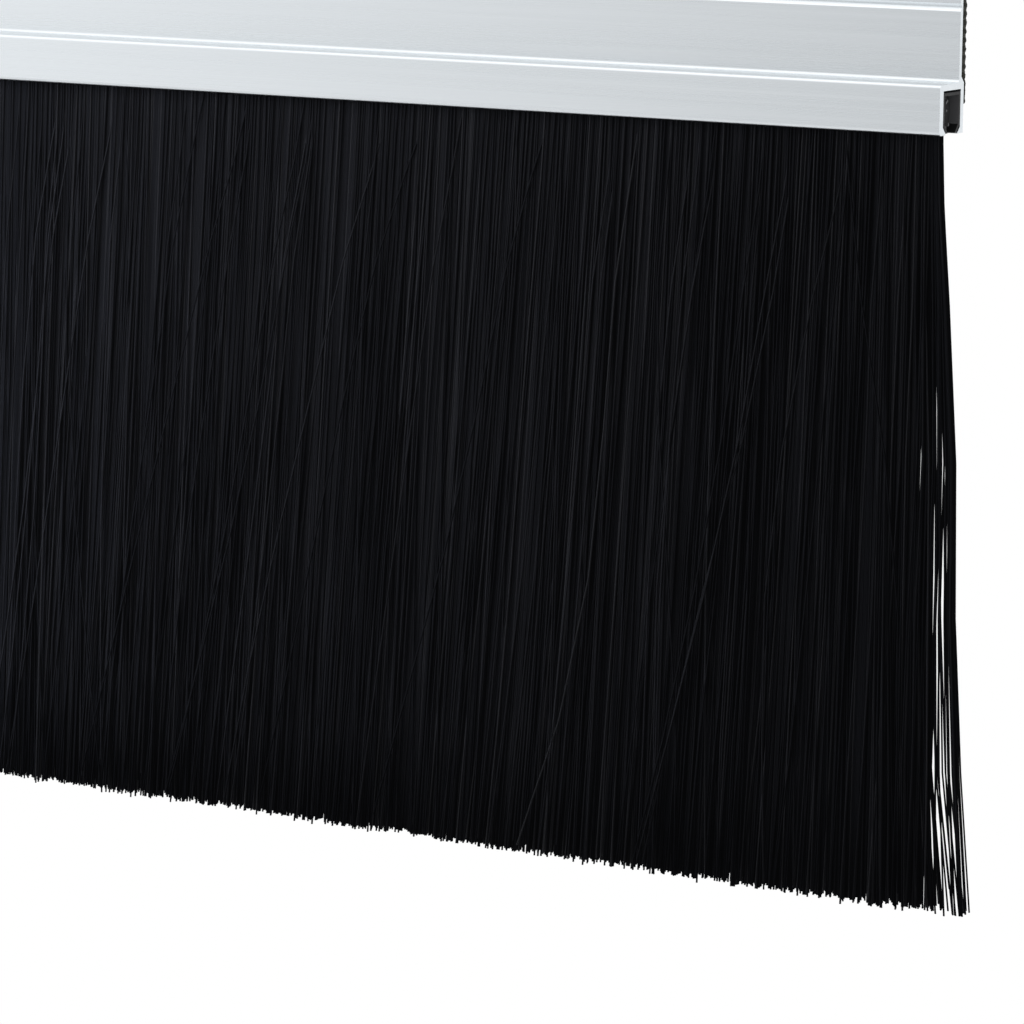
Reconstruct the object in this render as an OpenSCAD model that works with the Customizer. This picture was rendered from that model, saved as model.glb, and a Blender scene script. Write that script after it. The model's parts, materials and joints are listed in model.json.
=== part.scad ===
// Brush door sweep: an extruded aluminium carrier with a mounting flange, a foam tape on its back,
// and a slide-in strip brush held by two lips in the carrier's pocket.
//
// X runs along the sweep, -Y is the room side and +Y the door side, and +Z is up. The origin is the
// middle of the face that sticks to the door. The section is drawn in Y and Z, then extruded along X.

/* [Sweep] */
// Length of the sweep, along the door's bottom edge
sweep_length = 914; // [600:1:1200]
// How far the bristles hang below the carrier
bristle_drop = 100; // [60:1:120]

/* [Carrier] */
// Height of the whole extrusion
carrier_height = 25; // [24:0.5:32]
// Outside height of the pocket that holds the brush
pocket_height = 6.35; // [6.2:0.05:7]
// Depth of the carrier from its front face to the door
carrier_depth = 7.35; // [7.2:0.05:7.6]
// Thickness of the pocket's front wall
front_wall = 1.0; // [0.9:0.05:1.1]
// Thickness of the pocket's rear wall
rear_wall = 0.85; // [0.75:0.05:0.95]
// Thickness of the pocket's ceiling
ceiling = 0.78; // [0.6:0.02:0.8]
// Thickness of the mounting flange
flange_wall = 0.65; // [0.6:0.05:0.8]
// How far the front lip reaches under the brush
front_lip = 0.8; // [0.6:0.05:0.85]
// How far the rear lip reaches under the brush
rear_lip = 0.65; // [0.5:0.05:0.85]
// Radius of the inside corner between ledge and flange
corner_fillet = 0.5; // [0.3:0.01:0.52]
// Radius of the ledge's front edge
edge_round = 0.45; // [0.15:0.05:0.5]
// Radius of the front wall's lower edge
lower_round = 0.5; // [0.2:0.05:0.8]

/* [Drill guide groove] */
// Height of the groove's centre above the ledge
groove_above_ledge = 9.45; // [7:0.05:12]
// Height of the groove's opening
groove_width = 1.0; // [0.8:0.1:1.4]
// Depth of the groove
groove_depth = 0.35; // [0.25:0.05:0.4]

/* [Screw holes] */
// Number of screw holes along the groove
hole_count = 4; // [2:1:4]
// Distance from each end of the sweep to the nearest hole
hole_inset = 115; // [60:1:200]
// Diameter of a screw hole
hole_d = 3.8; // [3.4:0.1:3.9]

/* [Foam tape] */
// Width of the tape, from its bottom edge to its top edge
tape_width = 20; // [18:0.5:20]
// Thickness of the tape on the flange
tape_thick = 1.35; // [1.2:0.05:1.4]
// Thickness of the tape where it laps over the pocket
tape_lap_thick = 0.6; // [0.5:0.05:0.7]
// Height of the tape's bottom edge above the pocket's bottom
tape_bottom = 3.7; // [3:0.1:4.5]

/* [Strip brush] */
// Width of the folded metal channel
channel_width = 4.8; // [4.5:0.05:4.8]
// Thickness of the channel's sheet
channel_wall = 0.4; // [0.3:0.05:0.5]
// How far each crimped leg leans inwards
crimp_reach = 0.85; // [0.85:0.05:1]
// Height of the crimped part of each leg
crimp_height = 1.0; // [0.9:0.05:1.1]
// Diameter of the wire that the filaments are folded over
wire_d = 1.2; // [0.8:0.1:1.4]
// Length left without free bristles at each end
bare_end = 1.4; // [0.4:0.2:6]
// Thickness of the bristles where they leave the channel
bristle_root_thick = 2.6; // [2:0.1:3]
// Thickness of the bristles at their tips
bristle_tip_thick = 4.6; // [3:0.1:6]
// Depth of the bristles' bending line below the carrier
bend_drop = 1.5; // [1.5:0.1:3]

/* [Hidden] */
$fn = 48;
bundle_count = 16;
bundle_gap = 0.3;       // space between neighbouring bundles
root_share = 0.96;      // a bundle's flat part starts just inside its round top
play = 0.05;            // clearance of the brush in its pocket, each side
channel_bottom_lift = 0.2;
channel_top_gap = 0.27; // space above the channel
lip_foot = 0.15;        // height of the lips' upright tips
lip_height = 1.0;       // height of the front lip where it meets the wall
rear_lip_height = 0.8;
step_height = 0.75;     // slope from the flange's back to the pocket's back
top_chamfer = 0.15;
slip = 0.02;            // space that keeps the brush's own pieces from sharing faces
root_setback = 0.3;     // how far the clamped filaments stop short of the channel's ends
wire_setback = 1.6;     // how far the wire stops short of them
cut = 1;                // overshoot of a cutting tool

// Y positions, from the front face to the door
front_y = -carrier_depth;
pocket_front_y = front_y + front_wall;
flange_back_y = -tape_thick;
flange_front_y = flange_back_y - flange_wall;
pocket_back_y = -tape_lap_thick;
pocket_rear_y = pocket_back_y - rear_wall;
brush_y = pocket_front_y + play + channel_width / 2;

// Z positions, from the pocket's bottom edge up
bottom_z = -(tape_bottom + tape_width / 2);
ledge_z = bottom_z + pocket_height;
ceiling_z = ledge_z - ceiling;
top_z = bottom_z + carrier_height;
groove_z = ledge_z + groove_above_ledge;
channel_bottom_z = bottom_z + channel_bottom_lift;
channel_top_z = ceiling_z - channel_top_gap;
wire_z = channel_top_z - channel_wall - wire_d;
bend_z = bottom_z - bend_drop;
tip_z = bottom_z - bristle_drop;

hole_pitch = (sweep_length - 2 * hole_inset) / (hole_count - 1);
bundle_pitch = (sweep_length - 2 * bare_end) / bundle_count;
crimp_slope = sqrt(pow(crimp_reach, 2) + pow(crimp_height, 2)) / crimp_height;

function bundle_name(i) = str("bristle_bundle_", i < 10 ? "0" : "", i);

// Points on an arc in the section, around (y, z), from one angle to another
function arc(y, z, r, from, to, steps = 8) =
    [for (i = [0:steps]) let (a = from + (to - from) * i / steps) [y + r * cos(a), z + r * sin(a)]];

// Extrudes a section drawn in Y and Z along X, centred on x
module along_x(length, x = 0)
    translate([x - length / 2, 0, 0])
        rotate([90, 0, 90])
            linear_extrude(length)
                children();

// Cuts every screw hole through what lies between the flange and the door
module screw_holes()
    for (i = [0:hole_count - 1])
        translate([hole_inset - sweep_length / 2 + i * hole_pitch, cut, groove_z])
            rotate([90, 0, 0])
                cylinder(d = hole_d, h = carrier_depth + 2 * cut);

// The aluminium extrusion: front wall, ledge and flange outside, and the pocket with its two lips inside
module carrier_profile() {
    outside = concat(
        arc(front_y + lower_round, bottom_z + lower_round, lower_round, 270, 180),
        arc(front_y + edge_round, ledge_z - edge_round, edge_round, 180, 90),
        arc(flange_front_y - corner_fillet, ledge_z + corner_fillet, corner_fillet, -90, 0),
        [
            [flange_front_y, groove_z - groove_width / 2],
            [flange_front_y + groove_depth, groove_z],
            [flange_front_y, groove_z + groove_width / 2],
            [flange_front_y, top_z - top_chamfer],
            [flange_front_y + top_chamfer, top_z],
            [flange_back_y - top_chamfer, top_z],
            [flange_back_y, top_z - top_chamfer],
            [flange_back_y, ledge_z + step_height],
            [pocket_back_y, ledge_z],
            [pocket_back_y, bottom_z]
        ]
    );
    pocket = [
        [pocket_rear_y - rear_lip, bottom_z],
        [pocket_rear_y - rear_lip, bottom_z + lip_foot],
        [pocket_rear_y, bottom_z + rear_lip_height],
        [pocket_rear_y, ceiling_z],
        [pocket_front_y, ceiling_z],
        [pocket_front_y, bottom_z + lip_height],
        [pocket_front_y + front_lip, bottom_z + lip_foot],
        [pocket_front_y + front_lip, bottom_z]
    ];
    color("silver")
        difference() {
            along_x(sweep_length) polygon(concat(outside, pocket));
            screw_holes();
        }
}

// The adhesive foam tape: thick on the flange, thinner where it laps over the pocket
module foam_tape()
    color("dimgray")
        difference() {
            along_x(sweep_length)
                polygon([
                    [0, bottom_z + tape_bottom],
                    [0, bottom_z + tape_bottom + tape_width],
                    [flange_back_y, bottom_z + tape_bottom + tape_width],
                    [flange_back_y, ledge_z + step_height],
                    [pocket_back_y, ledge_z],
                    [pocket_back_y, bottom_z + tape_bottom]
                ]);
            screw_holes();
        }

// Half of the channel's outline, mirrored to the other side: the back, one leg and its crimp.
// inset moves it inwards by a wall's thickness.
function channel_side(inset, bottom_z) = [
    [channel_width / 2 - crimp_reach - inset * crimp_slope, bottom_z],
    [channel_width / 2 - inset, channel_bottom_z + crimp_height + inset * (crimp_slope - 1)],
    [channel_width / 2 - inset, channel_top_z - inset]
];

// A closed outline from one side's points and their mirror image
function both_sides(side) = concat(
    [for (p = side) [brush_y + p[0], p[1]]],
    [for (i = [len(side) - 1:-1:0]) [brush_y - side[i][0], side[i][1]]]
);

// The folded sheet-metal channel of the strip brush, open at the bottom between its crimped legs
module brush_channel()
    color([0.12, 0.12, 0.13])
        along_x(sweep_length)
            difference() {
                polygon(both_sides(channel_side(0, channel_bottom_z)));
                polygon(both_sides(concat(
                    [[channel_width / 2 - crimp_reach - channel_wall * crimp_slope, channel_bottom_z - cut]],
                    channel_side(channel_wall, channel_bottom_z)
                )));
            }

// The wire along the channel that the filaments are folded over
module core_wire()
    color("gray")
        translate([wire_setback - sweep_length / 2, brush_y, wire_z])
            rotate([0, 90, 0])
                cylinder(d = wire_d, h = sweep_length - 2 * wire_setback);

// The folded and clamped part of all filaments, which fills the channel around the wire
module bristle_roots()
    color([0.05, 0.05, 0.06])
        along_x(sweep_length - 2 * root_setback)
            difference() {
                polygon(both_sides(channel_side(channel_wall + slip, channel_bottom_z)));
                translate([brush_y, wire_z])
                    circle(d = wire_d + 2 * slip);
            }

// One stretch of the free bristles: round at the bending line, and thicker towards the tips
module bristle_bundle(i) {
    length = bundle_pitch - bundle_gap;
    middle_x = (i - (bundle_count + 1) / 2) * bundle_pitch;
    color([0.07, 0.07, 0.08])
        union() {
            translate([middle_x - length / 2, brush_y, bend_z])
                rotate([0, 90, 0])
                    cylinder(d = bristle_root_thick, h = length);
            along_x(length, middle_x)
                polygon([
                    [brush_y - bristle_root_thick * root_share / 2, bend_z],
                    [brush_y + bristle_root_thick * root_share / 2, bend_z],
                    [brush_y + bristle_tip_thick / 2, tip_z],
                    [brush_y - bristle_tip_thick / 2, tip_z]
                ]);
        }
}

carrier_profile();
foam_tape();
brush_channel();
core_wire();
bristle_roots();
for (i = [1:bundle_count])
    bristle_bundle(i);
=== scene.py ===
"""Looks of a brush door sweep: an aluminium carrier, a foam tape, and a strip brush of separate filaments."""

import json
import math

import bpy
import numpy as np
from mathutils import Matrix, Vector


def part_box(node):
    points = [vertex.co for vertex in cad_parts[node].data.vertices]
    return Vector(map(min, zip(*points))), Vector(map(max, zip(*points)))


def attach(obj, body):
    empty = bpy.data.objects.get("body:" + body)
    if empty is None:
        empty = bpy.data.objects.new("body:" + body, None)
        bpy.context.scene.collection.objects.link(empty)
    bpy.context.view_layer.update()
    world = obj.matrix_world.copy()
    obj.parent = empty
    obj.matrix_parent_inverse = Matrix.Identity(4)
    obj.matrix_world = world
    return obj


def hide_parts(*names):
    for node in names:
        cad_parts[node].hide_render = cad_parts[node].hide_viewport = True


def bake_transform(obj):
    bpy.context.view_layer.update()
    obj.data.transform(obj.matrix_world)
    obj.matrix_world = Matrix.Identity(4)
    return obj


MM = 0.001
BUNDLES = 16
HALF_BUNDLE_GAP = 0.15 * MM
FILAMENT_RADIUS = 0.13 * MM
FILAMENTS_PER_MM = 31
FILAMENT_SIDES = 5
LOOP_SIDES = 8
THIN_BAND = 2.2 * MM  # how far in from its two ends the curtain is thinner
LAST_STRAND = 0.4 * MM  # how wide the free strand at each end is
HALF_SPREAD = 3.2 * MM  # no filament lies further than this from the brush's middle plane
POCKET_HEIGHT = 6.35 * MM
STEP_HEIGHT = 0.75 * MM  # the slope from the flange's back to the pocket's back
SKIN = 0.01 * MM  # what counts as lying in a sawn end's face

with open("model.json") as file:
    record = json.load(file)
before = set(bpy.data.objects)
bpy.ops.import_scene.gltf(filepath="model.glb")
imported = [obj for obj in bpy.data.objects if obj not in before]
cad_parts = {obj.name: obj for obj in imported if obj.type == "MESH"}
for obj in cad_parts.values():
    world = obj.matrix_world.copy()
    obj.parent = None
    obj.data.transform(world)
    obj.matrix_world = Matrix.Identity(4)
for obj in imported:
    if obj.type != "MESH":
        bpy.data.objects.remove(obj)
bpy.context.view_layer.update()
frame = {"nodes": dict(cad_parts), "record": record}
record = frame["record"]
nodes = frame["nodes"]
random = np.random.default_rng(6810)
strand_random = np.random.default_rng(682)

carrier_low, carrier_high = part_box("carrier_profile")
channel_low, channel_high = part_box("brush_channel")
wire_low, wire_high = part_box("core_wire")
tape_low, tape_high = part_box("foam_tape")
half_length = carrier_high.x
brush_y = (channel_low.y + channel_high.y) / 2
mouth_z = channel_low.z
tip_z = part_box("bristle_bundle_01")[0].z
free_length = mouth_z - tip_z
curtain_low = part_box("bristle_bundle_01")[0].x - HALF_BUNDLE_GAP
curtain_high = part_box(f"bristle_bundle_{BUNDLES}")[1].x + HALF_BUNDLE_GAP


# ---------------------------------------------------------------- materials


def shader_node(tree, kind, inputs=None, **settings):
    """A new node with its settings, and its inputs set to values or linked from sockets."""
    made = tree.nodes.new(kind)
    for name, value in settings.items():
        setattr(made, name, value)
    for name, value in (inputs or {}).items():
        if isinstance(value, bpy.types.NodeSocket):
            tree.links.new(value, made.inputs[name])
        else:
            made.inputs[name].default_value = value
    return made


def maths(tree, operation, a, b=0.0, clamp=False):
    return shader_node(tree, "ShaderNodeMath", {0: a, 1: b}, operation=operation, use_clamp=clamp).outputs[0]


def principled(name, colour, roughness, metallic=0.0, specular=0.5):
    material = bpy.data.materials.new(name)
    material.use_nodes = True
    shader = material.node_tree.nodes["Principled BSDF"]
    shader.inputs["Base Color"].default_value = (*colour, 1)
    shader.inputs["Roughness"].default_value = roughness
    shader.inputs["Metallic"].default_value = metallic
    shader.inputs["Specular IOR Level"].default_value = specular
    return material, material.node_tree, shader


def stretched_noise(tree, scale, size, detail=2.0, seed=0.0):
    """Noise in the object's own space, with cells of size metres stretched by scale along X, Y and Z."""
    where = shader_node(tree, "ShaderNodeTexCoord").outputs["Object"]
    placed = shader_node(
        tree,
        "ShaderNodeMapping",
        {"Vector": where, "Location": (seed, seed, seed), "Scale": tuple(1 / (size * s) for s in scale)},
    )
    return shader_node(
        tree, "ShaderNodeTexNoise", {"Vector": placed.outputs[0], "Scale": 1.0, "Detail": detail}
    ).outputs["Fac"]


def bumped(tree, shader, height, strength, distance):
    bump = shader_node(tree, "ShaderNodeBump", {"Height": height, "Strength": strength, "Distance": distance})
    tree.links.new(bump.outputs[0], shader.inputs["Normal"])


def ranged(tree, value, low, high, from_low=0.3, from_high=0.7):
    return shader_node(
        tree,
        "ShaderNodeMapRange",
        {"Value": value, "From Min": from_low, "From Max": from_high, "To Min": low, "To Max": high},
    ).outputs[0]


def mixed_colour(tree, factor, low, high):
    """A colour between two, each a colour or a socket."""
    mix = shader_node(tree, "ShaderNodeMix", data_type="RGBA")
    tree.links.new(factor, mix.inputs[0])
    for number, colour in ((6, low), (7, high)):
        if isinstance(colour, bpy.types.NodeSocket):
            tree.links.new(colour, mix.inputs[number])
        else:
            mix.inputs[number].default_value = (*colour, 1)
    return mix.outputs[2]


def aluminium():
    """Satin extruded aluminium: fine die lines along X, sawn ends, and painted light on the faces that point
    upwards.
    """
    material, tree, shader = principled("satin_aluminium", (0.72, 0.75, 0.775), 0.3, metallic=1.0)
    lines = stretched_noise(tree, (600, 1, 1), 0.09 * MM, detail=3)
    bands = stretched_noise(tree, (120, 1, 1), 0.9 * MM, detail=3, seed=7.0)
    saw = stretched_noise(tree, (1, 9, 1), 0.12 * MM, detail=2, seed=3.0)
    where = shader_node(tree, "ShaderNodeTexCoord").outputs["Object"]
    x = shader_node(tree, "ShaderNodeSeparateXYZ", {0: where}).outputs[0]
    end = maths(tree, "GREATER_THAN", maths(tree, "ABSOLUTE", x), half_length - SKIN)
    grain = shader_node(tree, "ShaderNodeMix", {"Factor": end, "A": lines, "B": saw}).outputs[0]
    satin = maths(tree, "ADD", ranged(tree, lines, -0.03, 0.03), ranged(tree, bands, 0.26, 0.32))
    rough = shader_node(tree, "ShaderNodeMix", {"Factor": end, "A": satin, "B": ranged(tree, saw, 0.38, 0.5)})
    tree.links.new(rough.outputs[0], shader.inputs["Roughness"])
    both = maths(tree, "ADD", ranged(tree, grain, 0.0, 1.0), ranged(tree, bands, 0.0, 1.0))
    streaks = maths(tree, "MULTIPLY", both, 0.5)
    satin_tint = mixed_colour(tree, streaks, (0.69, 0.72, 0.745), (0.75, 0.78, 0.805))
    # painted light: the ledge and the groove's lower side face upwards, and their colour is made lighter the
    # more they point up
    normal = shader_node(tree, "ShaderNodeNewGeometry").outputs["Normal"]
    rise = shader_node(tree, "ShaderNodeSeparateXYZ", {0: normal}).outputs[2]
    painted_top_light = ranged(tree, rise, 0.0, 1.0, 0.2, 0.7)
    tree.links.new(mixed_colour(tree, painted_top_light, satin_tint, (0.82, 0.845, 0.86)), shader.inputs["Base Color"])
    fine = shader_node(tree, "ShaderNodeBump", {"Height": grain, "Strength": 0.35, "Distance": 0.006 * MM})
    wavy = shader_node(
        tree,
        "ShaderNodeBump",
        {"Height": bands, "Strength": 1.0, "Distance": 0.02 * MM, "Normal": fine.outputs[0]},
    )
    tree.links.new(wavy.outputs[0], shader.inputs["Normal"])
    return material


def foam(name, colour, roughness, cell, depth):
    """Closed-cell foam: small cells in a slightly lighter body, with painted shade darkening the cells' pits.
    """
    material, tree, shader = principled(name, colour, roughness, specular=0.25)
    where = shader_node(tree, "ShaderNodeTexCoord").outputs["Object"]
    cells = shader_node(tree, "ShaderNodeTexVoronoi", {"Vector": where, "Scale": 1 / cell})
    patches = stretched_noise(tree, (1, 1, 1), 4 * cell, detail=3)
    height = maths(tree, "ADD", cells.outputs["Distance"], maths(tree, "MULTIPLY", patches, 0.6))
    # painted shade: the colour darkens where the cells' pits sink, with the same height that bumps them; the
    # broad patches vary the tone as well
    tone = ranged(tree, height, 0.0, 1.0, 0.3, 1.1)
    tint = mixed_colour(tree, tone, [c * 0.45 for c in colour], [c * 1.5 for c in colour])
    tree.links.new(tint, shader.inputs["Base Color"])
    bumped(tree, shader, height, 0.8, depth)
    return material


def grained_metal(name, colour, roughness, metallic, specular, grain, along):
    """Metal or paint whose roughness and height vary with a fine grain, stretched along X."""
    material, tree, shader = principled(name, colour, roughness, metallic, specular)
    noise = stretched_noise(tree, (along, 1, 1), grain, detail=4)
    tree.links.new(ranged(tree, noise, roughness * 0.8, roughness * 1.25), shader.inputs["Roughness"])
    bumped(tree, shader, noise, 0.4, 0.01 * MM)
    return material


def channel_steel():
    """Sheet steel painted black outside, with painted light inside the fold: the faces there are coloured
    light grey.
    """
    material = grained_metal("black_steel", (0.006, 0.006, 0.0065), 0.5, 0.0, 0.25, 0.15 * MM, 6)
    tree = material.node_tree
    where = shader_node(tree, "ShaderNodeTexCoord").outputs["Object"]
    x, y, z = shader_node(tree, "ShaderNodeSeparateXYZ", {0: where}).outputs
    half_width = (channel_high.y - channel_low.y) / 2
    off = maths(tree, "ABSOLUTE", maths(tree, "SUBTRACT", y, brush_y))
    inside = maths(tree, "LESS_THAN", off, half_width - 0.3 * MM)
    for limit, of, operation in (
        (half_length - SKIN, maths(tree, "ABSOLUTE", x), "LESS_THAN"),
        (channel_high.z - 0.3 * MM, z, "LESS_THAN"),
        (mouth_z + 1.0 * MM, z, "GREATER_THAN"),
    ):
        inside = maths(tree, "MULTIPLY", inside, maths(tree, operation, of, limit))
    # painted light: the faces inside the fold are coloured light grey instead of the black paint
    colour = mixed_colour(tree, inside, (0.006, 0.006, 0.0065), (0.30, 0.30, 0.31))
    tree.links.new(colour, tree.nodes["Principled BSDF"].inputs["Base Color"])
    return material


def filament_materials():
    """Near-black nylon in a few tones, each with a faint painted glow; the last one, for the filaments in the
    middle of the curtain, is lighter as painted light.
    """
    tones = [
        ("filament_black", (0.0060, 0.0062, 0.0075), 0.70, 0.0),
        ("filament_dark", (0.0069, 0.0071, 0.0085), 0.70, 0.0),
        ("filament_grey", (0.0079, 0.0081, 0.0096), 0.65, 0.02),
        ("filament_sheen", (0.0108, 0.0110, 0.0129), 0.55, 0.06),
        ("filament_inner_painted_light", (0.0116, 0.0118, 0.0139), 0.75, 0.0),
    ]
    made = []
    for name, colour, roughness, specular in tones:
        material, _, shader = principled(name, colour, roughness, 0.0, specular)
        # painted light: a faint glow lifts even the deepest filaments off black
        shader.inputs["Emission Color"].default_value = (0.86, 0.89, 1.0, 1)
        shader.inputs["Emission Strength"].default_value = 0.0016
        made.append(material)
    return made


# ---------------------------------------------------------------- meshes


def mesh_object(name, points, faces, materials, face_material, smooth):
    """A mesh from points (n, 3) and a list of face arrays (m, k), each with one corner count."""
    mesh = bpy.data.meshes.new(name)
    sizes = np.concatenate([np.full(len(f), f.shape[1]) for f in faces])
    corners = np.concatenate([np.asarray(f).ravel() for f in faces])
    mesh.vertices.add(len(points))
    mesh.vertices.foreach_set("co", np.asarray(points, np.float32).ravel())
    mesh.loops.add(len(corners))
    mesh.loops.foreach_set("vertex_index", corners.astype(np.int32))
    mesh.polygons.add(len(sizes))
    mesh.polygons.foreach_set("loop_start", (np.cumsum(sizes) - sizes).astype(np.int32))
    for material in materials:
        mesh.materials.append(material)
    mesh.polygons.foreach_set("material_index", np.asarray(face_material, np.int32))
    mesh.polygons.foreach_set("use_smooth", smooth)
    mesh.update(calc_edges=True)
    made = bpy.data.objects.new(name, mesh)
    bpy.context.scene.collection.objects.link(made)
    return made


def tubes(centres, radii, across, beside, sides):
    """Closed tubes along centres (n, k, 3), with across and beside as the two directions of each ring."""
    n, k, _ = centres.shape
    turn = 2 * math.pi * (np.arange(sides) + random.random((n, 1))) / sides
    ring = (
        np.cos(turn)[:, None, :, None] * np.broadcast_to(across, (n, k, 3))[:, :, None]
        + np.sin(turn)[:, None, :, None] * np.broadcast_to(beside, (n, k, 3))[:, :, None]
    )
    points = centres[:, :, None] + ring * radii[:, :, None, None]
    base = np.arange(n)[:, None, None] * k * sides
    row, side = np.arange(k - 1)[None, :, None] * sides, np.arange(sides)[None, None]
    after = (side + 1) % sides
    corner = [base + row + side, base + row + sides + side, base + row + sides + after, base + row + after]
    walls = np.stack([np.broadcast_to(c, (n, k - 1, sides)) for c in corner], -1).reshape(-1, 4)
    first = (np.arange(n) * k * sides)[:, None] + np.arange(sides)[None]
    last = (np.arange(n) * k * sides + (k - 1) * sides)[:, None] + np.arange(sides)[None, ::-1]
    return points.reshape(-1, 3), walls, np.concatenate([first, last])


def smooth_step(t):
    t = np.clip(t, 0, 1)
    return t * t * (3 - 2 * t)


def bristle_bundle(index, materials):
    """One stretch of the curtain: filaments that leave the channel's mouth and spread towards their tips."""
    low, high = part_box(f"bristle_bundle_{index:02d}")
    x_low = curtain_low if index == 1 else low.x - HALF_BUNDLE_GAP
    x_high = curtain_high if index == BUNDLES else high.x + HALF_BUNDLE_GAP
    count = round((x_high - x_low) / MM * FILAMENTS_PER_MM)
    root_x = x_low + (np.arange(count) + random.random(count)) / count * (x_high - x_low)
    root_y = random.uniform(-0.86, 0.86, count) * MM
    # two filaments in five stand in one of two close rows, so that the curtain isn't see-through
    rows = np.arange(count) % 5 < 2
    number = np.arange(rows.sum())
    place = (number + random.uniform(0.35, 0.65, len(number))) / len(number)
    root_x[rows] = x_low + place * (x_high - x_low)
    root_y[rows] = np.where(number % 2, 0.5, -0.5) * MM
    loose = np.where(rows, 0.03, 1.0)[:, None]
    # the very ends of the curtain are thinner
    inset = np.minimum(root_x - curtain_low, curtain_high - root_x).clip(0, None)
    moved = (inset < THIN_BAND) & (inset > 0.1 * MM) & (random.random(count) < 0.11)
    root_x[moved] -= np.sign(root_x[moved]) * THIN_BAND
    inset[moved] += THIN_BAND
    # how deep each filament's points lie below the channel's mouth; the last is its tip, and follows below
    levels = np.array([-0.9, 1.5, 9, 22, 42, 62, 82, 1]) * MM
    depth = np.tile(levels, (count, 1))

    # tips: trimmed level, a little ragged, and now and then shorter
    short = np.where(random.random(count) < 0.04, random.uniform(0.5, 4, count), 0) * MM
    depth[:, -1] = free_length + random.normal(0, 0.22, count).clip(-0.6, 0.6) * MM - short
    share = (depth / free_length).clip(0, 1)

    # strands: neighbouring filaments lean together, in wide tufts and in thin strands within them
    outer = np.exp(-inset / (1.3 * MM))[:, None]
    loose = np.minimum(loose + outer, 1 - 0.9 * outer)
    x = np.broadcast_to(root_x[:, None], share.shape).copy()
    y = root_y[:, None] * (1 + 1.45 * share**0.85)
    for width, pull, lean_x, lean_y in ((2.6, 0.06, 0.35, 0.30), (0.42, 0.16, 0.30, 0.22)):
        number = np.floor((root_x - x_low) / (width * MM)).astype(int)
        total = number.max() + 1
        jitter = random.uniform(-0.25, 0.25, total)
        middle = x_low + (np.arange(total) + 0.5 + jitter) * width * MM
        middle = middle.clip(x_low + 0.2 * MM, x_high - 0.2 * MM)[number]
        tighter = pull * loose + (width < 1) * 0.85 * outer
        gather = smooth_step(share * 2.2) * tighter
        x += (middle - root_x)[:, None] * gather
        x += random.normal(0, lean_x, total)[number][:, None] * loose * MM * share**1.4
        y += random.normal(0, lean_y, total)[number][:, None] * loose * MM * smooth_step(share * 1.3)
        if width < 1:
            y += (random.normal(0, 0.8, total)[number] * MM - root_y)[:, None] * gather * outer
            # strands are cut a little unevenly, and near the curtain's ends they sway across each other
            depth[:, -1] += strand_random.normal(0, 0.28, total)[number] * MM
            depth[:, -1] = np.minimum(depth[:, -1], free_length + 0.6 * MM)
            near_end = np.exp(-inset / (3 * MM)) * np.where(inset < LAST_STRAND, 0.15, 1)
            swing = strand_random.normal(0, 0.45, (total, len(levels)))[number] * near_end[:, None]
            x += swing * MM * smooth_step(share * 4)

    # the two ends of the curtain splay outwards, more the lower they hang, and the last strand stands free
    fan = np.interp(depth / MM, [0, 8, 20, 40, 60, 73, 86, 100], [0, 0.3, 1.5, 3.05, 3.55, 4.0, 5.2, 6.55])
    free = np.where(inset < LAST_STRAND, 0, 0.45)[:, None] * smooth_step((depth / MM - 9) / 9)
    x += np.sign(root_x)[:, None] * (fan - free) * MM * outer

    # the whole curtain sways a little one way or the other along its length
    sway = np.interp(
        root_x / MM,
        [-457, -400, -330, -250, -160, -60, 40, 130, 220, 300, 340, 400, 435, 450],
        [0, 2.5, 4, 1, -3, -1, 3, 1.5, -2.5, -2.5, -5.5, -6, -3, 0],
    )
    x += sway[:, None] * MM * share**1.1
    own = random.normal(0, 1.7, count) * np.where(random.random(count) < 0.12, 2.4, 1)
    x += own[:, None] * loose * MM * share ** random.uniform(0.8, 2.0, (count, 1))

    # each filament's own waviness, and a few strays in front of and behind the others
    phase = random.uniform(0, 2 * math.pi, (2, count, 1))
    wave = random.normal(0, 0.18, (2, count, 1)) * loose * MM * smooth_step(share * 3)
    x += wave[0] * np.sin(share * 7 + phase[0])
    y += wave[1] * np.sin(share * 6 + phase[1])
    y += random.normal(0, 0.25, (count, 1)) * loose * MM * share**1.2
    stray = (random.random(count) < 0.009 + 0.02 * np.exp(-inset / (40 * MM))) & (inset > 6 * MM)
    lean = np.where(stray, random.triangular(-26, -8, 12, count), 0)
    lean = lean.clip((curtain_low - root_x) / MM, (curtain_high - root_x) / MM)
    x += lean[:, None] * MM * share ** random.uniform(0.7, 1.9, (count, 1))
    x += np.where(stray, random.normal(0, 0.9, count), 0)[:, None] * MM * np.sin(share * 5 + phase[0])
    side = np.where(root_y > 0, 1, -1) * random.uniform(2.3, 3.0, count) * MM
    y = np.where(stray[:, None], root_y[:, None] + (side - root_y)[:, None] * smooth_step(share * 4), y)
    y = y.clip(-HALF_SPREAD, HALF_SPREAD)
    drop = depth * np.sqrt(1 - (lean[:, None] * MM / free_length) ** 2)

    centres = np.stack([x, brush_y + y, mouth_z - drop], -1)
    radii = FILAMENT_RADIUS * random.uniform(0.9, 1.08, (count, 1)) * np.ones((1, len(levels)))
    points, walls, caps = tubes(centres, radii, np.array([1.0, 0, 0]), np.array([0, 1.0, 0]), FILAMENT_SIDES)
    tone = random.choice(4, count, p=[0.34, 0.34, 0.22, 0.10])
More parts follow.
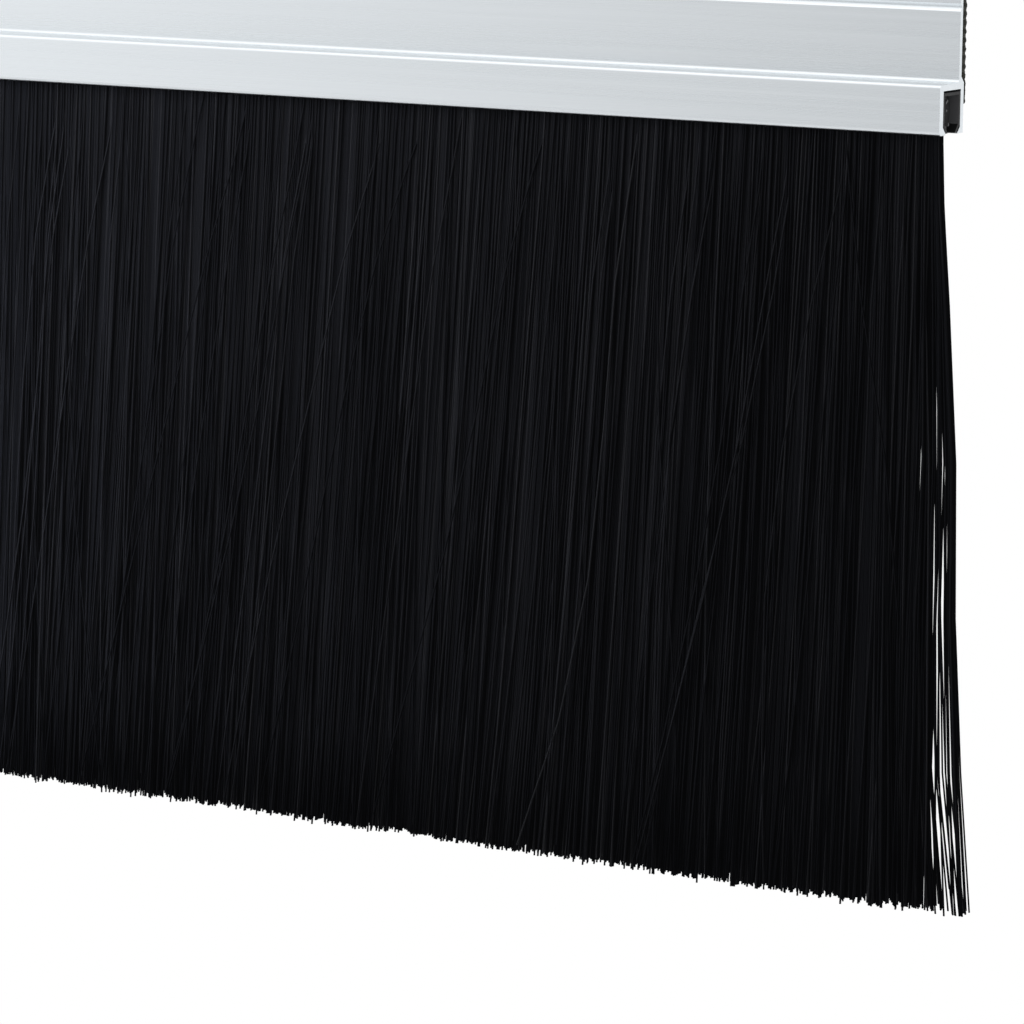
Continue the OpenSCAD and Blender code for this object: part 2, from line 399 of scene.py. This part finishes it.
    # painted light: the filaments in the middle of the curtain get the lighter inner tone, so the gaps
    # between the front ones go less dark
    tone[np.abs(root_y) < 0.45 * MM] = 4
    face_material = np.concatenate([np.repeat(tone, (len(levels) - 1) * FILAMENT_SIDES), tone, tone])
    smooth = np.concatenate([np.ones(len(walls), bool), np.zeros(len(caps), bool)])
    made = mesh_object(f"filaments_{index:02d}", points, [walls, caps], materials, face_material, smooth)
    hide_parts(f"bristle_bundle_{index:02d}")
    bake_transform(made)


def brush_roots(materials):
    """The clamped part: filaments folded over the wire, each as a loop, in the last stretch at both ends."""
    wire_z = (wire_low.z + wire_high.z) / 2
    wire_radius = (wire_high.z - wire_low.z) / 2
    roof_z = channel_high.z - 0.42 * MM
    inside = (channel_high.y - channel_low.y) / 2 - 0.42 * MM
    layers = 5
    loops = []
    for end in (-1, 1):
        for row in range(5):
            for layer in range(layers):
                reach = layer / (layers - 1)
                wide = wire_radius + 0.16 * MM + reach * (inside - wire_radius - 0.33 * MM)
                tall = wire_radius + 0.16 * MM + reach * (roof_z - wire_z - wire_radius - 0.32 * MM)
                narrow = (0.18 + 0.66 * reach) * MM
                angle = np.radians(np.linspace(180, 0, 13))
                y = np.concatenate([[-narrow, -wide * 0.9], wide * np.cos(angle), [wide * 0.9, narrow]])
                z = wire_z + tall * np.sin(angle)
                leg = np.array([mouth_z + random.uniform(0.0, 0.12) * MM, mouth_z + 1.25 * MM])
                z = np.concatenate([leg, z, leg[::-1]])
                x = end * (half_length - (1.25 + 0.29 * row + random.uniform(0, 0.1)) * MM)
                y = y + random.normal(0, 0.03) * MM
                loops.append(np.stack([np.full(17, x), brush_y + y, z], -1))
    centres = np.array(loops)
    along = np.gradient(centres, axis=1)
    along /= np.linalg.norm(along, axis=2, keepdims=True)
    out = np.cross(along, [1.0, 0, 0])
    radii = np.full(centres.shape[:2], FILAMENT_RADIUS)
    points, walls, caps = tubes(centres, radii, out, np.array([1.0, 0, 0]), LOOP_SIDES)

    # behind the loops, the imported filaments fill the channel
    packed = nodes["bristle_roots"].data
    inner = np.array([v.co for v in packed.vertices])
    inner[:, 0] = np.sign(inner[:, 0]) * (half_length - 2.6 * MM)
    triangles = np.array([p.vertices for p in packed.polygons]) + len(points)
    # painted light: each loop's back half gets a lighter grey than its front half; a random quarter of the
    # front halves is a little lighter too
    front = np.where(random.random(len(loops)) < 0.25, 1, 0)
    half_loop = (centres.shape[1] - 1) // 2 * LOOP_SIDES
    tone = np.repeat(np.stack([front, np.full(len(loops), 2)], 1), half_loop, axis=1)
    face_material = [tone.ravel(), front, np.full(len(loops), 2), np.zeros(len(triangles), int)]

    # and a few cut ends that point outwards
    stubs = 5
    x = np.repeat([-1, 1], stubs)[:, None] * (half_length + np.array([-2.2, -0.2]) * MM)
    y = brush_y - random.uniform(0.5, 1.6, 2 * stubs) * MM
    z = random.uniform(mouth_z + 0.9 * MM, roof_z - 0.3 * MM, 2 * stubs)
    slope = random.uniform(-0.35, 0.35, (2, 2 * stubs)) * MM
    ends = np.stack([x, np.stack([y, y + slope[0]], 1), np.stack([z, z + slope[1]], 1)], -1)
    across = np.zeros(ends.shape)
    across[:, :, 1] = -np.sign(x)
    stub_points, stub_walls, stub_caps = tubes(
        ends, np.full((2 * stubs, 2), 1.5 * FILAMENT_RADIUS), across, np.array([0, 0, 1.0]), LOOP_SIDES
    )
    offset = len(points) + len(inner)
    smooth = [np.ones(len(walls), bool), np.zeros(len(caps) + len(triangles), bool)]
    smooth += [np.ones(len(stub_walls), bool), np.zeros(len(stub_caps), bool)]
    # painted highlight: the stubs' cut ends get the light grey of the last end tone
    face_material += [np.full(len(stub_walls), 1), np.full(len(stub_caps), 3)]
    made = mesh_object(
        "folded_filaments",
        np.concatenate([points, inner, stub_points]),
        [walls, caps, triangles, stub_walls + offset, stub_caps + offset],
        materials,
        np.concatenate(face_material),
        np.concatenate(smooth),
    )
    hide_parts("bristle_roots")
    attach(made, "brush_insert")


def foam_tape(side, face, cut):
    """The tape: a foam strip with cellular edges, zigzag-cut ends with painted light in their notches, and
    the screw holes.
    """
    low, high = tape_low, tape_high
    pocket_back = carrier_high.y
    step_z = carrier_low.z + POCKET_HEIGHT
    z = np.linspace(low.z, high.z, 153)
    fine = half_length - np.array([0, 0.12, 0.3, 0.55, 0.85, 1.2, 2, 4]) * MM
    x = np.concatenate([-fine, np.arange(-22, 23) * 20 * MM, fine[::-1]])
    front = np.interp(z, [step_z, step_z + STEP_HEIGHT], [pocket_back, low.y])
    rows, columns = len(z), len(x)
    zigzag = 0.12 * (high.y - front) * np.abs(((z - low.z) / (1.1 * MM) * 2 + 0.6) % 2 - 1)
    grid_x = np.broadcast_to(x, (rows, columns)).copy()
    near = ((np.abs(x) - (half_length - 2 * MM)) / (2 * MM)).clip(0, 1)
    grid_x -= np.sign(x) * near * (zigzag + random.uniform(0, 0.05, rows) * MM)[:, None]
    grid_z = np.broadcast_to(z[:, None], (rows, columns)).copy()
    rim = random.uniform(-0.05, 0.02, (2, columns)) * MM
    grid_z[0] -= rim[0]
    grid_z[-1] += rim[1]
    rounded = np.zeros(rows)
    rounded[0], rounded[-1] = 0.14 * MM, 0.14 * MM
    squeeze = rounded[:, None] + np.zeros((1, columns))
    thickness = (high.y - front) / (high.y - low.y)
    squeeze[:, 0] = squeeze[:, -1] = np.maximum(rounded, random.uniform(0.06, 0.12, rows) * MM * thickness)
    back_y = np.full((rows, columns), high.y) - squeeze
    front_y = np.broadcast_to(front[:, None], (rows, columns)) + squeeze
    layers = [np.stack([grid_x, y, grid_z], -1) for y in (front_y, (front_y + back_y) / 2, back_y)]
    # the cut foam bulges a little between its two skins
    bulge = np.zeros((rows, columns))
    bulge[0] = -0.08 * MM
    bulge[-1] = 0.08 * MM
    layers[1][:, :, 2] += bulge
    layers[1][:, 0, 0] -= 0.06 * MM
    layers[1][:, -1, 0] += 0.06 * MM
    points = np.concatenate([layer.reshape(-1, 3) for layer in layers])
    number = np.arange(rows * columns).reshape(rows, columns)

    def quads(a, b, c, d):
        return np.stack([a.ravel(), b.ravel(), c.ravel(), d.ravel()], -1)

    one, two = rows * columns, 2 * rows * columns
    skin = quads(number[:-1, :-1], number[:-1, 1:], number[1:, 1:], number[1:, :-1])
    faces = [skin, skin[:, ::-1] + two]
    for a, b in ((0, one), (one, two)):
        bottom, top, left, right = number[0], number[-1], number[:, 0], number[:, -1]
        faces.append(quads(bottom[:-1] + a, bottom[:-1] + b, bottom[1:] + b, bottom[1:] + a))
        faces.append(quads(top[:-1] + a, top[1:] + a, top[1:] + b, top[:-1] + b))
        faces.append(quads(left[:-1] + a, left[1:] + a, left[1:] + b, left[:-1] + b))
        faces.append(quads(right[:-1] + a, right[:-1] + b, right[1:] + b, right[1:] + a))
    materials = np.zeros(sum(len(f) for f in faces), int)
    materials[len(skin) : 2 * len(skin)] = 1
    # painted light: the end faces in the zigzag's notches get a lighter copy of the foam
    painted_light_notch = (zigzag[:-1] > 0.55 * zigzag.max()) & (thickness[:-1] > 0.9)
    first = 2 * len(skin)
    for f in faces[2:]:
        if len(f) == rows - 1:
            materials[first : first + len(f)] = np.where(painted_light_notch, 2, 0)
        first += len(f)
    smooth = np.zeros(len(materials), bool)
    made = mesh_object("foam_strip", points, [np.concatenate(faces)], [side, face, cut], materials, smooth)

    # the screws pass through the tape as well
    for mount in record["mounts"]:
        if mount["kind"] != "bolt_pattern":
            continue
        for sign in (-1, 1):
            bpy.ops.mesh.primitive_cylinder_add(
                vertices=32,
                radius=mount["dims"]["hole_r_mm"] * MM,
                depth=8 * MM,
                location=(sign * mount["dims"]["spacing_x_mm"] / 2 * MM, 0, mount["pos_m"][2]),
                rotation=(math.pi / 2, 0, 0),
            )
            cutter = bpy.context.object
            punch = made.modifiers.new("screw_hole", "BOOLEAN")
            punch.object, punch.operation, punch.solver = cutter, "DIFFERENCE", "EXACT"
            bpy.context.view_layer.objects.active = made
            bpy.ops.object.modifier_apply(modifier=punch.name)
            bpy.data.objects.remove(cutter)
    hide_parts("foam_tape")
    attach(made, "carrier")


def finish_node(node, material):
    """Puts one material on all faces of a CAD node."""
    mesh = nodes[node].data
    mesh.materials.clear()
    mesh.materials.append(material)


finish_node("carrier_profile", aluminium())
finish_node("brush_channel", channel_steel())
finish_node("core_wire", grained_metal("steel_wire", (0.03, 0.03, 0.031), 0.6, 1.0, 0.3, 0.08 * MM, 20))
foam_tape(
    foam("foam_cells", (0.055, 0.055, 0.046), 0.9, 0.22 * MM, 0.08 * MM),
    foam("foam_adhesive", (0.020, 0.020, 0.020), 0.45, 0.5 * MM, 0.02 * MM),
    # painted light: a lighter copy of the cell foam for the zigzag's notches
    foam("foam_notch_painted_light", (0.15, 0.15, 0.13), 0.9, 0.22 * MM, 0.05 * MM),
)
nylon = filament_materials()
# the end tones: the first is the nylon's own near-black, the two after it are painted light for the folded
# filaments, and the last is a painted highlight for cut ends
ends = [
    principled(f"nylon_end_{number}", (tone, tone, tone * 1.04), 0.55, 0.0, 0.3)[0]
    for number, tone in enumerate((0.006, 0.014, 0.028, 0.16))
]
brush_roots(ends)
for index in range(1, BUNDLES + 1):
    bristle_bundle(index, nylon)


# ---------------------------------------------------------------- floor, light and camera


def studio():
    """White all round to the camera. The aluminium mirrors it as dim in front and bright to the left."""
    world = bpy.data.worlds.new("studio")
    bpy.context.scene.world = world
    world.use_nodes = True
    tree = world.node_tree
    tree.nodes.clear()
    direction = shader_node(tree, "ShaderNodeTexCoord").outputs["Generated"]
    parts = shader_node(tree, "ShaderNodeSeparateXYZ", {0: direction})
    total = maths(tree, "ADD", maths(tree, "MULTIPLY", parts.outputs[2], 0.13), 1.09)
    # where each soft lobe points, how narrow it is, and how much light it adds or takes away
    lobes = [
        ((-0.11, -0.98, 0.08), 10.0, -0.88),
        ((-0.87, -0.50, -0.05), 8.0, 0.45),
        ((-0.40, -0.45, 0.80), 5.0, 0.18),
        ((-0.68, -0.57, -0.45), 25.0, -0.35),
    ]
    for towards, sharpness, strength in lobes:
        unit = Vector(towards).normalized()
        facing = shader_node(tree, "ShaderNodeVectorMath", {0: direction, 1: unit}, operation="DOT_PRODUCT")
        facing = maths(tree, "MAXIMUM", facing.outputs["Value"], 0.0)
        lobe = maths(tree, "MULTIPLY", maths(tree, "POWER", facing, sharpness), strength)
        total = maths(tree, "ADD", total, lobe)
    total = maths(tree, "MAXIMUM", total, 0.03)
    rays = shader_node(tree, "ShaderNodeLightPath")
    seen = rays.outputs["Is Camera Ray"]
    # the diffuse black bristles get less from all round than from the softboxes
    dimming = 0.87
    share = maths(tree, "SUBTRACT", 1.0, maths(tree, "MULTIPLY", rays.outputs["Is Diffuse Ray"], dimming))
    total = maths(tree, "MULTIPLY", total, share)
    lit = shader_node(tree, "ShaderNodeBackground", {"Color": (0.985, 0.995, 1.0, 1), "Strength": total})
    white = shader_node(tree, "ShaderNodeBackground", {"Color": (1, 1, 1, 1), "Strength": 1.0})
    mixed = shader_node(tree, "ShaderNodeMixShader", {0: seen, 1: lit.outputs[0], 2: white.outputs[0]})
    out = shader_node(tree, "ShaderNodeOutputWorld")
    tree.links.new(mixed.outputs[0], out.inputs[0])


def softbox(name, place, aim, size, energy, colour=(0.97, 0.985, 1.0)):
    """A soft light for the bristles and the foam. The aluminium mirrors the studio around it instead."""
    data = bpy.data.lights.new(name, "AREA")
    data.shape, data.size, data.energy = "SQUARE", size, energy
    data.color = colour
    made = bpy.data.objects.new(name, data)
    turn = (Vector(aim) - Vector(place)).to_track_quat("-Z", "Y")
    made.matrix_world = Matrix.Translation(place) @ turn.to_matrix().to_4x4()
    made.visible_glossy = False
    made.visible_camera = False
    bpy.context.scene.collection.objects.link(made)


def floor():
    """A plain pale floor well below the bristles, lit evenly."""
    bpy.ops.mesh.primitive_plane_add(size=8, location=(0, 0, tip_z - 0.6))
    made = bpy.context.object
    made.name = "floor"
    material = bpy.data.materials.new("pale_floor")
    material.use_nodes = True
    tree = material.node_tree
    tree.nodes.clear()
    seen = shader_node(tree, "ShaderNodeLightPath").outputs["Is Camera Ray"]
    plain = shader_node(tree, "ShaderNodeBsdfDiffuse", {"Color": (0.8, 0.8, 0.8, 1)})
    white = shader_node(tree, "ShaderNodeEmission", {"Color": (1, 1, 1, 1), "Strength": 1.0})
    mixed = shader_node(tree, "ShaderNodeMixShader", {0: seen, 1: plain.outputs[0], 2: white.outputs[0]})
    out = shader_node(tree, "ShaderNodeOutputMaterial")
    tree.links.new(mixed.outputs[0], out.inputs[0])
    made.data.materials.append(material)
    made.visible_glossy = False
    made.visible_diffuse = False
    made.visible_shadow = False


def camera():
    """A close, long-lens view of the right-hand end, from the room side and slightly above."""
    azimuth, elevation, roll = math.radians(30.90), math.radians(9.55), math.radians(0.59)
    corner = Vector((carrier_high.x, carrier_low.y, carrier_low.z))
    back = Vector(
        (
            math.sin(azimuth) * math.cos(elevation),
            -math.cos(azimuth) * math.cos(elevation),
            math.sin(elevation),
        )
    )
    right = Vector((math.cos(azimuth), math.sin(azimuth), 0))
    up = back.cross(right)
    turned_right = math.cos(roll) * right + math.sin(roll) * up
    turned_up = -math.sin(roll) * right + math.cos(roll) * up
    data = bpy.data.cameras.new("camera")
    data.sensor_width, data.lens = 36, 169.15
    data.clip_start, data.clip_end = 0.01, 100
    made = bpy.data.objects.new("camera", data)
    place = Matrix((turned_right, turned_up, back)).transposed().to_4x4()
    place.translation = corner + Vector((0.2635, -0.5434, 0.0530))
    made.matrix_world = place
    bpy.context.scene.collection.objects.link(made)
    bpy.context.scene.camera = made


studio()
# three lights for the right-hand end, a row for the rest of the sweep, and one behind
softbox("key", (0.285, -0.15, 0.04), (0.30, 0, -0.05), 0.14, 0.37)
softbox("left", (0.25, -0.085, -0.06), (0.28, 0, -0.07), 0.06, 0.14, (0.77, 0.85, 1.0))
softbox("top", (0.38, -0.08, 0.0), (0.38, 0, -0.03), 0.08, 0.036)
for number, x in enumerate((0.07, -0.13, -0.33), 1):
    softbox(f"row_{number}", (x, -0.17, -0.01), (x, 0, -0.05), 0.16, 0.40)
softbox("fill", (-0.1, 0.7, 0.25), (0, 0, -0.05), 0.6, 5.0)
floor()
camera()
bpy.context.scene.view_settings.view_transform = "Standard"
